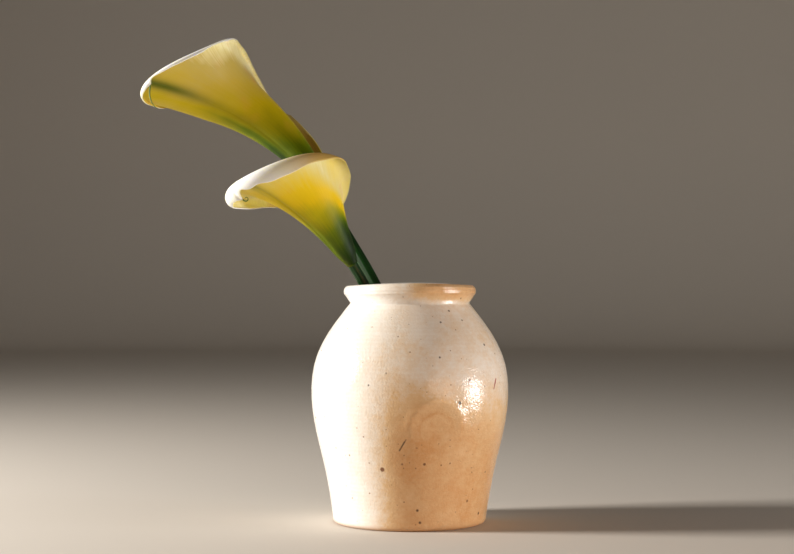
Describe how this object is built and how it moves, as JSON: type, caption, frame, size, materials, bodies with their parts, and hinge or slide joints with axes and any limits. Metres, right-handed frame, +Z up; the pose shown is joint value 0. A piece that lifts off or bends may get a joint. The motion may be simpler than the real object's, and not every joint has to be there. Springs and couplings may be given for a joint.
{
  "type": "calla lilies in ceramic vase",
  "caption": "Turned stoneware jar with a rolled collar, holding cut calla lilies: each stem carries a rolled, pointed, funnel-shaped spathe round a finger-like spadix.",
  "frame": {"origin": "on the vase's turning axis, at the flat underside of its foot, where it rests on a table", "axes": "+Z up along the vase's axis; -Y is the front of the arrangement; the flowers lean over the rim towards -X"},
  "size_m": [0.2816, 0.1831, 0.3731],
  "materials": {
    "cream_glaze": "hand-thrown stoneware under a thin off-white glaze, iron specks burnt through, lightly orange-peeled",
    "calla_stem": "living stem, dark green, smooth and faintly waxy, with fine lengthwise fibres",
    "calla_spathe": "living spathe, cream to yellow with a green throat and midrib, satin and slightly translucent",
    "calla_spadix": "living spadix, golden yellow, beaded with tiny florets and dull with pollen"
  },
  "bodies": {
    "root": {"vase": "cream_glaze", "upper_stem": "calla_stem", "upper_spathe": "calla_spathe", "upper_spadix": "calla_spadix", "lower_stem": "calla_stem", "lower_spathe": "calla_spathe", "lower_spadix": "calla_spadix"}
  },
  "joints": []
}
